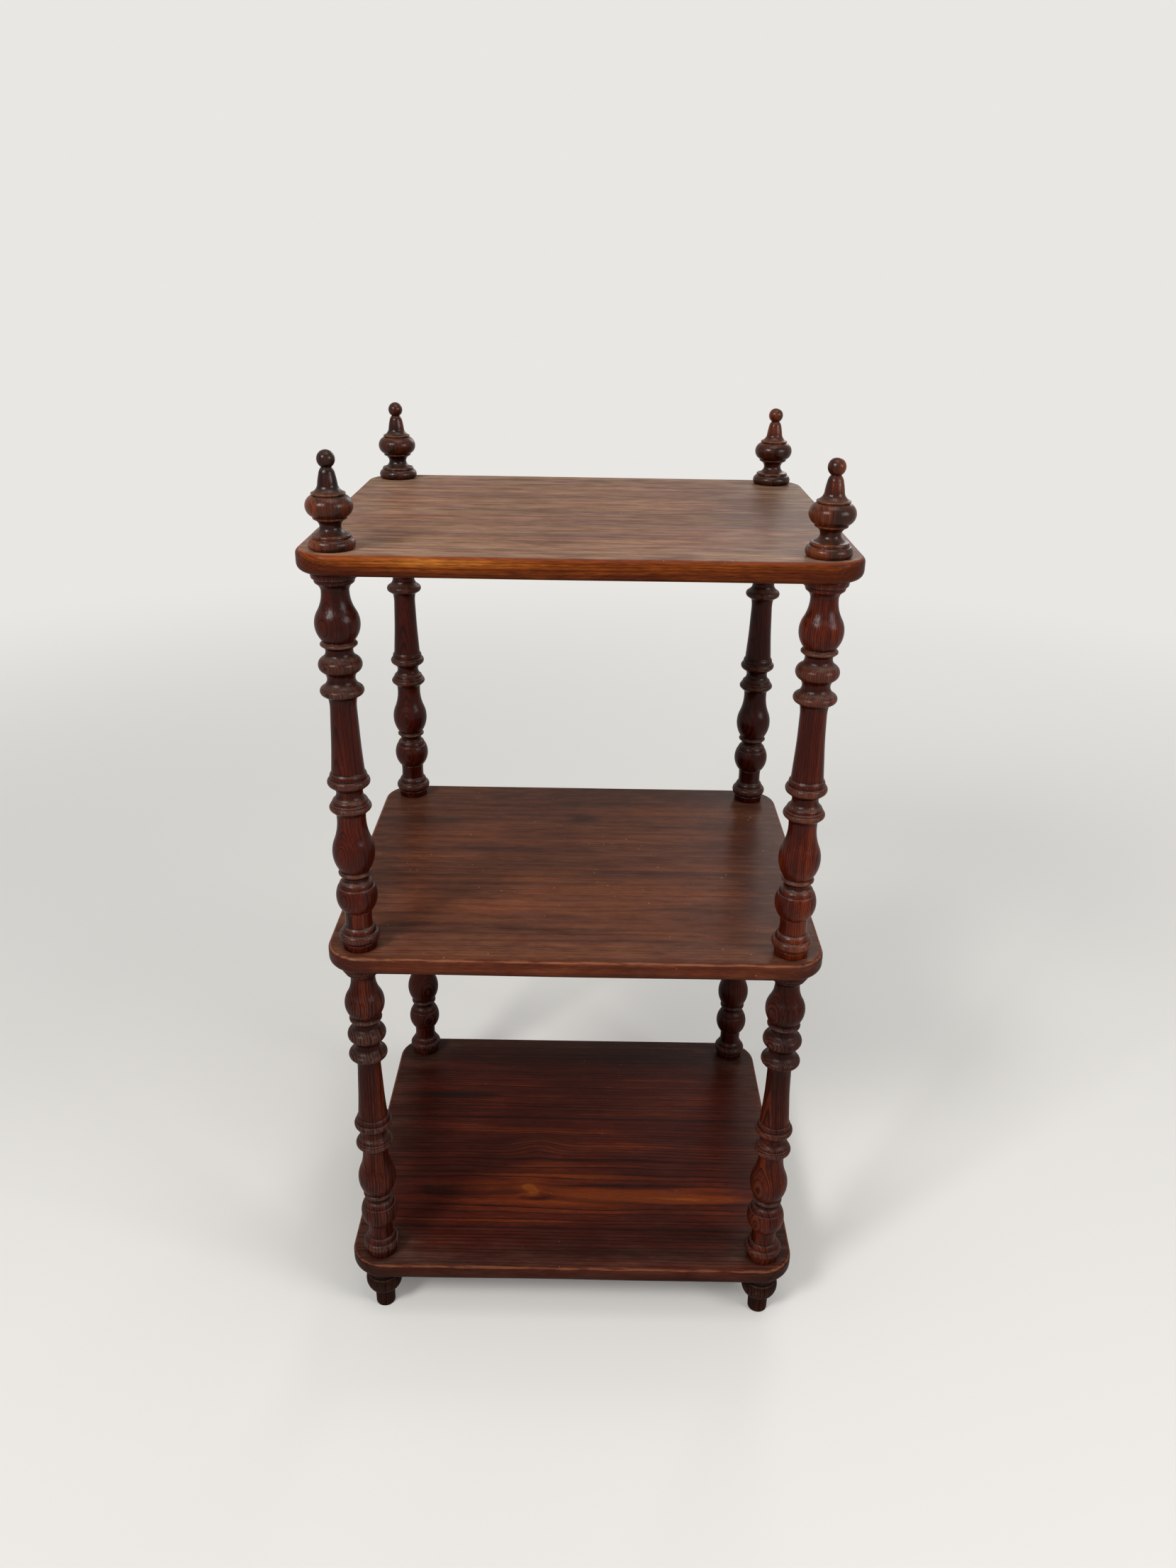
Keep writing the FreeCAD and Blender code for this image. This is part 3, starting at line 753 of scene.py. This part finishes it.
class Board:
    """One shelf board, its two faces and the rounded edge between them."""

    def __init__(self, node, sizes):
        self.node = node
        self.sizes = sizes
        self.low, self.high = (np.array(corner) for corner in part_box(node))
        half = (self.high - self.low)[:2] / 2
        self.edge, self.normal = rounded_rectangle(*half, sizes.corner, sizes.points_round)

    def rings(self, draw):
        """Rings from the middle of the underside out, up round the edge and in to the middle of
        the top. At the edge a ring is the outline moved in by d, with d and the height on a
        quarter circle at each arris; inside, it is the last edge ring shrunk to its middle."""
        sizes = self.sizes
        low, high = self.low[2], self.high[2]
        turn = np.linspace(0, math.pi / 2, sizes.points_arris)
        under = sizes.bottom_round * np.stack([1 - np.sin(turn), 1 - np.cos(turn)], axis=-1)
        over = sizes.top_round * np.stack([1 - np.cos(turn), np.sin(turn) - 1], axis=-1)
        shares = np.arange(1, sizes.points_in) / sizes.points_in
        noise = smooth_noise(draw, len(self.edge), ROUNDING_WAVES)
        rounding = 1 + sizes.hand_rounding * noise
        foot = low + sizes.bottom_round * rounding
        head = high - sizes.top_round * rounding
        side = np.arange(1, SIDE_RINGS + 1) / (SIDE_RINGS + 1)
        rings = [
            *((self.inset(under[0, 0] * rounding) * share, low) for share in shares),
            *((self.inset(inset * rounding), low + lift * rounding) for inset, lift in under),
            *((self.edge, foot + share * (head - foot)) for share in side),
            *((self.inset(inset * rounding), high + drop * rounding) for inset, drop in over),
            *((self.inset(over[-1, 0] * rounding) * share, high) for share in shares[::-1]),
        ]
        grid = np.empty((len(rings), len(self.edge), 3))
        for row, (plan, height) in enumerate(rings):
            grid[row, :, :2] = plan
            grid[row, :, 2] = height
        return grid

    def inset(self, distance):
        """The outline moved in by a distance."""
        return self.edge - self.normal * np.reshape(distance, (-1, 1))


def smooth_noise(draw, count, waves):
    """A closed run of values between about -1 and 1: a sum of sines with whole wave counts."""
    turn = np.arange(count) * 2 * math.pi / count
    total = sum(
        np.sin(number * turn + draw.uniform(0, 2 * math.pi)) / math.sqrt(number)
        for number in range(1, waves + 1)
    )
    return total / np.abs(total).max()


# Where each board was cut from its log: how far the heart lies behind the board's middle and
# below its top, in millimetres. knots bend the grain: where they are, how far round them it
# bends, and how much. spots are where the stain took badly, above 0, or the wood is black,
# below 0, and the wide dark bands along the back and at the ends are painted shade: where they
# are, how wide and deep, and how much. edge is the same for the edge, and bloom and edge_bloom
# are how much dust lies over the whole top and the edge.
BOARDS = {
    "bottom_shelf": dict(
        heart=(-88, 55), edge=0.02, edge_bloom=0.5, bloom=0.25,
        knots=((-43, -10, 26, 20, 11), (-150, 79, 60, 7, 5), (-48, -83, 14, 12, 6),
               (60, -20, 70, 25, 4), (-130, -40, 40, 20, 4)),
        spots_and_shade=((-50, -80, 10, 6, 0.34), (-43, -87, 7, 5, 0.26), (-38, -97, 16, 3, -0.22),
               (60, -90, 55, 6, 0.14), (60, -76, 50, 4, -0.16), (130, -95, 45, 5, 0.24),
               (-20, -100, 60, 5, 0.1), (-150, 79, 45, 4, -0.5), (-192, -50, 20, 12, 0.12),
               # The wide dark bands along the back and at the ends are painted shade.
               (0, 172, 260, 34, -0.17), (0, -60, 150, 60, 0.03), (30, 60, 120, 60, 0.02),
               (0, -165, 200, 22, -0.05), (195, 0, 25, 150, -0.07), (-185, 20, 45, 170, -0.08)),
    ),
    "middle_shelf": dict(
        heart=(-120, 90), edge=0.07, edge_bloom=0.3, bloom=0.8,
        knots=((4, 106, 16, 12, 6), (10, 45, 70, 12, 4), (-160, 90, 60, 12, 4)),
        spots_and_shade=((4, 106, 12, 9, -0.22), (-170, 100, 50, 14, -0.12), (110, 88, 60, 4, -0.14),
               (80, -22, 60, 5, -0.14), (30, 150, 40, 3, -0.15), (0, -120, 190, 50, 0.05),
               # The wide dark bands along the back and at the ends are painted shade.
               (-90, 30, 50, 5, -0.08), (160, 170, 60, 20, -0.08), (-60, -40, 70, 6, 0.06),
               (200, 0, 45, 140, -0.16), (-205, -20, 30, 140, -0.12), (0, 175, 250, 40, -0.12)),
    ),
    "top_shelf": dict(
        heart=(-150, 110), edge=0.05, edge_bloom=0.0, bloom=0.8,
        knots=((-20, 66, 30, 12, 5), (-10, -15, 18, 20, 3), (-80, -90, 60, 10, 3)),
        # The wide dark band at the right end is painted shade.
        spots_and_shade=((-190, 105, 10, 5, 0.1), (180, 30, 60, 150, -0.15)),
    ),
}

# Where wear, dust and dirt lie on every board, and where its edge is darker near the corners:
# each bell's middle and width in millimetres, down from the top, up from the underside, out
# from a post's axis, or in from a side or a corner.
BELLS = {
    "top_arris": (1.2, 1.3),
    "low_arris": (1.5, 2.5),
    "post_dust": (16, 17),
    "post_dirt": (15.5, 2.2),
    "side_dust": (0, 28),
    "corner_darkening": (0, 60),
}
EDGE_REACH = 7 * MM
END_REACH = 8 * MM
CORNER_REACH = 60 * MM
TOP_SKIN = 0.6 * MM
EDGE_STARTS = 0.05
# How much darker the edge grows towards its bottom, and near the corners and at the ends.
LOW_EDGE_DARKENING = 0.06
CORNER_AND_END_DARKENING = 0.14
LOW_ARRIS_WEAR = 0.5
SIDE_DUST = 0.6
POST_DIRT = 0.5


def bell(distance, kind):
    """A bell over a middle: exp(-((d - m)/w)²)."""
    middle, width = BELLS[kind]
    return np.exp(-((distance / MM - middle) / width) ** 2)


def hill(at, x, y, wide, deep):
    """A bell over the middle of an oval: exp(-(x/w)² - (y/d)²), sizes in millimetres."""
    return np.exp(-((at[:, 0] / MM - x) / wide) ** 2 - ((at[:, 1] / MM - y) / deep) ** 2)


def shelf_paint(board, posts, seed):
    """The board's place in its log, worn arrises, dirt and dust round the feet of the posts,
    a bloom on the top face, its spots, painted shade in wide bands along its back and ends, and
    an edge that is darker towards the bottom, near the corners and at the ends."""
    cut = BOARDS[board.node]
    behind, below = cut["heart"]
    shift = np.random.default_rng(seed).uniform(*LOG_SHIFT)

    def paint(at):
        down = board.high[2] - at[:, 2]
        up = at[:, 2] - board.low[2]
        inward = board.high[:2] - np.abs(at[:, :2])
        lift = sum(strength * MM * hill(at, *knot) for *knot, strength in cut["knots"])
        across = at[:, 1] - behind * MM - lift
        grain = np.column_stack([across, below * MM - down, at[:, 0] + shift])

        # Spots of stain and black wood, and painted shade in wide bands along the back and the
        # ends.
        tone = sum(strength * hill(at, *spot) for *spot, strength in cut["spots_and_shade"])
        round_corner = np.hypot(*np.maximum(board.sizes.corner - inward, 0).T)
        near_edge = board.sizes.corner - round_corner < EDGE_REACH
        drop = down / (board.high[2] - board.low[2])
        on_edge = near_edge & (drop > EDGE_STARTS)
        # The edge is darker towards the bottom, near the corners and at the ends of the board.
        darker_corners_and_ends = bell(np.hypot(*np.minimum(inward, CORNER_REACH).T), "corner_darkening")
        darker_corners_and_ends += inward[:, 0] < END_REACH
        edge_tone = cut["edge"] - LOW_EDGE_DARKENING * drop**2 - CORNER_AND_END_DARKENING * darker_corners_and_ends
        tone += np.where(on_edge, edge_tone, 0)

        arrises = bell(down, "top_arris") + LOW_ARRIS_WEAR * bell(up, "low_arris")
        worn = np.where(near_edge, arrises, 0)
        on_top = part_way(down, TOP_SKIN, 0)
        nearest = np.min([np.hypot(*(at[:, :2] - post).T) for post in posts], axis=0)
        missed = bell(nearest, "post_dust") + SIDE_DUST * bell(inward.min(axis=1), "side_dust")
        dust = on_top * np.clip(cut["bloom"] + missed, 0, 1)
        dust = np.where(on_edge, np.maximum(dust, cut["edge_bloom"]), dust)
        dirt = on_top * POST_DIRT * bell(nearest, "post_dirt")
        return grain, np.column_stack([worn, dirt, dust, np.zeros(len(at))]), tone

    return paint


# ------------------------ the user's values


class TurningValues(bpy.types.PropertyGroup):
    facets: IntProperty(
        name="Facets", description="Facets round a turned piece", default=84, min=24, max=160
    )
    spacing: FloatProperty(
        name="Spacing", description="Between points along a turned outline", unit="LENGTH",
        default=0.95 * MM, precision=5,
    )
    stray: FloatProperty(
        name="Stray", description="How far the turner's hand strays", unit="LENGTH",
        default=0.2 * MM, precision=5,
    )
    shrinkage: FloatProperty(
        name="Shrinkage", description="Of the wood across its rings", subtype="FACTOR",
        default=0.012, min=0, max=0.05,
    )
    ball: FloatProperty(
        name="Ball radius", description="Ball on the tip of a finial", unit="LENGTH",
        default=7.2 * MM, precision=5,
    )


class ShelfValues(bpy.types.PropertyGroup):
    corner: FloatProperty(
        name="Corner radius", description="Rounded corners in plan", unit="LENGTH",
        default=34 * MM, precision=4,
    )
    top_round: FloatProperty(
        name="Upper arris", description="Radius of the rounded upper edge", unit="LENGTH",
        default=4.5 * MM, precision=5,
    )
    bottom_round: FloatProperty(
        name="Lower arris", description="Radius of the rounded lower edge", unit="LENGTH",
        default=6.5 * MM, precision=5,
    )
    hand_rounding: FloatProperty(
        name="Hand rounding", description="How much the rounding varies", subtype="FACTOR",
        default=0.14, min=0, max=0.3,
    )
    points_round: IntProperty(
        name="Points round", description="Points round the edge of a shelf", default=440, min=80
    )
    points_in: IntProperty(
        name="Points in", description="Rings from a face's edge to its middle", default=90, min=8
    )
    points_arris: IntProperty(
        name="Points on an arris", description="Rings on each rounded edge", default=9, min=3
    )


class StageValues(bpy.types.PropertyGroup):
    floor: FloatVectorProperty(
        name="Floor", description="Colour of the floor", subtype="COLOR", size=4,
        default=linear("#dedbd5"), min=0, max=1,
    )
    wall: FloatVectorProperty(
        name="Wall", description="Colour of the backdrop", subtype="COLOR", size=4,
        default=linear("#e9e7e3"), min=0, max=1,
    )
    key: FloatProperty(name="Key", description="Lamp at the front left", unit="POWER", default=60)
    fill: FloatProperty(name="Fill", description="Lamp at the right", unit="POWER", default=28)
    top: FloatProperty(name="Top", description="Lamp overhead", unit="POWER", default=18)
    back: FloatProperty(name="Back", description="Lamp behind", unit="POWER", default=14)
    ambient: FloatProperty(
        name="Ambient", description="Strength of the room's own light", default=0.3, min=0
    )
    eye: FloatVectorProperty(
        name="Eye", description="Where the camera stands", subtype="TRANSLATION",
        unit="LENGTH", default=(0.0107, -1.1081, 1.010),
    )
    tilt: FloatProperty(
        name="Tilt", description="How far the camera looks down", unit="ROTATION",
        default=math.radians(23.588),
    )
    swing: FloatProperty(
        name="Swing", description="How far it looks to the left", unit="ROTATION",
        default=math.radians(0.1),
    )
    roll: FloatProperty(
        name="Roll", description="How far it leans", unit="ROTATION",
        default=math.radians(0.893),
    )
    lens: FloatProperty(
        name="Lens", description="Focal length on a 36 mm sensor", unit="CAMERA", default=27.255
    )


# ------------------------ operators

# Small turnings have closer points: the shares of the columns' spacing.
FINIAL_SPACING = 0.6
FOOT_SPACING = 0.8

# Where each lamp stands and how wide it is, in metres.
LAMPS = {
    "key": ((-1.5, -1.9, 2.3), 0.75),
    "fill": ((1.9, -1.3, 1.6), 0.9),
    "top": ((0.2, -0.5, 2.9), 1.3),
    "back": ((0.9, 2.3, 1.7), 1.0),
}
ROOM_LIGHT = "#f4f6fa"

# The floor's disc and where it fades, in metres from its middle.
FLOOR_SIDES, FLOOR_RINGS = 96, 30
FLOOR_INNER, FLOOR_OUTER = 0.05, 14
FADE_FROM, FADE_TO = 0.5, 3.2


def post_places():
    """The axis of each post, from the columns of the frame."""
    boxes = {corner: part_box("lower_column_" + corner) for corner in CORNERS}
    return {corner: np.array((low + high) / 2)[:2] for corner, (low, high) in boxes.items()}


def turn_at_posts(sizes, kind, points, floor):
    """Turn one outline into a piece of this kind at each post."""
    material = stained_pine("turned_red_pine_" + kind, FINISHES[kind])
    posts = zip(post_places().items(), LOGS[kind], TURNING_SEEDS[kind])
    for (corner, centre), log, seed in posts:
        node = kind + "_" + corner
        name = node + "_turning"
        dress(turned_piece(name, points, centre, floor, sizes, log, seed, material), node)


class ETAGERE_OT_shelves(bpy.types.Operator):
    """Plane and round the three shelf boards"""

    bl_idname = "etagere.shelves"
    bl_label = "Make the shelves"

    def execute(self, context):
        sizes = context.scene.etagere_shelves
        posts = list(post_places().values())
        for node, grain_seed, edge_seed in zip(SHELVES, GRAIN_SEEDS, EDGE_SEEDS):
            board = Board(node, sizes)
            material = stained_pine("varnished_red_pine_" + node, FINISHES[node])
            rings = board.rings(np.random.default_rng(edge_seed))
            paint = shelf_paint(board, posts, grain_seed)
            piece = loft(node + "_board", rings, paint, material)
            dress(piece, node)
        return {"FINISHED"}


class ETAGERE_OT_columns(bpy.types.Operator):
    """Turn the eight columns between the shelves"""

    bl_idname = "etagere.columns"
    bl_label = "Turn the columns"

    def execute(self, context):
        sizes = context.scene.etagere_turning
        for kind, shelf in (("lower_column", "bottom_shelf"), ("upper_column", "middle_shelf")):
            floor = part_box(shelf)[1].z
            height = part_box(kind + "_front_left")[1].z - floor
            points = outline(*chain(COLUMN_SEAT, COLUMN, height), sizes.spacing)
            turn_at_posts(sizes, kind, points, floor)
        return {"FINISHED"}


class ETAGERE_OT_finials(bpy.types.Operator):
    """Turn the finials on the top shelf"""

    bl_idname = "etagere.finials"
    bl_label = "Turn the finials"

    def execute(self, context):
        sizes = context.scene.etagere_turning
        spacing = FINIAL_SPACING * sizes.spacing
        points = outline(*chain(FINIAL_SEAT, FINIAL, 0), spacing)
        points = with_ball(points, sizes.ball, spacing)
        turn_at_posts(sizes, "finial", points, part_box("top_shelf")[1].z)
        return {"FINISHED"}


class ETAGERE_OT_feet(bpy.types.Operator):
    """Turn the feet under the bottom shelf"""

    bl_idname = "etagere.feet"
    bl_label = "Turn the feet"

    def execute(self, context):
        sizes = context.scene.etagere_turning
        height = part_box("bottom_shelf")[0].z
        points = outline(*chain(FOOT_SEAT, FOOT, height), FOOT_SPACING * sizes.spacing)
        turn_at_posts(sizes, "foot", points, 0.0)
        return {"FINISHED"}


class ETAGERE_OT_stage(bpy.types.Operator):
    """Set the floor, the pale room, the lamps and the camera"""

    bl_idname = "etagere.stage"
    bl_label = "Set the stage"

    def execute(self, context):
        values = context.scene.etagere_stage
        floor_disc(values)
        context.scene.world = pale_room(values)
        for name, (place, size) in LAMPS.items():
            lamp(name, place, size, getattr(values, name))
        context.scene.view_settings.view_transform = "Standard"
        place_camera(values)
        return {"FINISHED"}


def floor_disc(values):
    """A flat disc round the piece: rings of points at x = r cos a, y = r sin a, each ring
    wider than the last, down to a small one in the middle."""
    angle = np.arange(FLOOR_SIDES) * 2 * math.pi / FLOOR_SIDES
    radius = np.geomspace(FLOOR_OUTER, FLOOR_INNER, FLOOR_RINGS)
    rings = np.zeros((FLOOR_RINGS, FLOOR_SIDES, 3))
    rings[..., :2] = radius[:, None, None] * spoke(angle)
    quads = ring_quads(FLOOR_RINGS, FLOOR_SIDES)
    middle = (FLOOR_RINGS - 1) * FLOOR_SIDES + np.arange(FLOOR_SIDES)
    mesh = bpy.data.meshes.new("studio_floor")
    mesh.from_pydata(rings.reshape(-1, 3).tolist(), [], quads + [middle.tolist()])
    mesh.materials.append(painted_floor(values))
    return new_object("studio_floor", mesh)


def seen_rays(tree):
    """1 for what the camera sees, straight or in a reflection or through glass, else 0."""
    path = add(tree, "LightPath")
    seen = add(
        tree, "Math",
        {0: path.outputs["Is Camera Ray"], 1: path.outputs["Is Glossy Ray"]}, operation="ADD",
    )
    through = path.outputs["Is Transmission Ray"]
    return add(tree, "Math", {0: seen, 1: through}, operation="ADD", use_clamp=True)


def pale_room(values):
    """An even soft light from all round, seen as the pale backdrop."""
    room = bpy.data.worlds.new("pale_room")
    tree = empty_tree(room)
    light = add(tree, "Background", {"Color": linear(ROOM_LIGHT), "Strength": values.ambient})
    wall = add(tree, "Background", {"Color": tuple(values.wall)})
    both = add(tree, "MixShader", {0: seen_rays(tree), 1: light, 2: wall})
    add(tree, "OutputWorld", {"Surface": both})
    return room


def painted_floor(values):
    """A matt painted floor, flat in colour and with no gloss, that fades into the pale backdrop
    further out, and is clear from below."""
    material = bpy.data.materials.new("matt_painted_floor")
    tree = empty_tree(material)
    paint = add(
        tree, "BsdfPrincipled",
        {"Base Color": tuple(values.floor), "Roughness": 0.9, "Specular IOR Level": 0.1},
    )
    glow = add(tree, "Emission", {"Color": tuple(values.wall)})
    place = add(tree, "TexCoord").outputs["Object"]
    reach = add(tree, "VectorMath", {0: place}, operation="LENGTH").outputs["Value"]
    far = add(
        tree, "MapRange",
        {"Value": reach, "From Min": FADE_FROM, "From Max": FADE_TO, "To Min": 0.15},
        interpolation_type="SMOOTHSTEP",
    )
    share = add(tree, "Math", {0: seen_rays(tree), 1: far}, operation="MULTIPLY")
    both = add(tree, "MixShader", {0: share, 1: paint, 2: glow})
    under = add(tree, "NewGeometry").outputs["Backfacing"]
    clear = add(tree, "BsdfTransparent")
    surface = add(tree, "MixShader", {0: under, 1: both, 2: clear})
    add(tree, "OutputMaterial", {"Surface": surface})
    return material


def lamp(name, place, size, power):
    """A square soft lamp that faces the middle of the piece."""
    light = bpy.data.lights.new(name, "AREA")
    light.size = size
    light.energy = power
    body = new_object(name, light)
    body.location = place
    aim = (CAD_BOX[0] + CAD_BOX[1]) / 2 - body.location
    body.rotation_euler = aim.to_track_quat("-Z", "Y").to_euler()


def place_camera(values):
    """The camera at its eye, turned in this order: swing, tilt, roll."""
    lens = bpy.data.cameras.new("camera")
    lens.lens = values.lens
    camera = new_object("camera", lens)
    turn = (
        Matrix.Rotation(values.swing, 4, "Z")
        @ Matrix.Rotation(math.pi / 2 - values.tilt, 4, "X")
        @ Matrix.Rotation(values.roll, 4, "Z")
    )
    camera.matrix_world = Matrix.Translation(values.eye) @ turn
    bpy.context.scene.camera = camera


class ETAGERE_PT_panel(bpy.types.Panel):
    """Lists the pieces and the stage"""

    bl_idname = "ETAGERE_PT_panel"
    bl_label = "Etagere"
    bl_space_type = "VIEW_3D"
    bl_region_type = "UI"
    bl_category = "Etagere"

    def draw(self, context):
        for operator in OPERATORS:
            self.layout.operator(operator.bl_idname)


OPERATORS = (
    ETAGERE_OT_shelves, ETAGERE_OT_columns, ETAGERE_OT_finials, ETAGERE_OT_feet,
    ETAGERE_OT_stage,
)
VALUES = {
    "etagere_turning": TurningValues,
    "etagere_shelves": ShelfValues,
    "etagere_stage": StageValues,
}
CLASSES = (*VALUES.values(), *OPERATORS, ETAGERE_PT_panel)


def register():
    for each in CLASSES:
        bpy.utils.register_class(each)
    for name, group in VALUES.items():
        setattr(bpy.types.Scene, name, PointerProperty(type=group))


def unregister():
    for name in VALUES:
        delattr(bpy.types.Scene, name)
    for each in reversed(CLASSES):
        bpy.utils.unregister_class(each)


def main():
    register()
    bpy.ops.etagere.shelves()
    bpy.ops.etagere.columns()
    bpy.ops.etagere.finials()
    bpy.ops.etagere.feet()
    bpy.ops.etagere.stage()


if __name__ == "__main__":
    main()
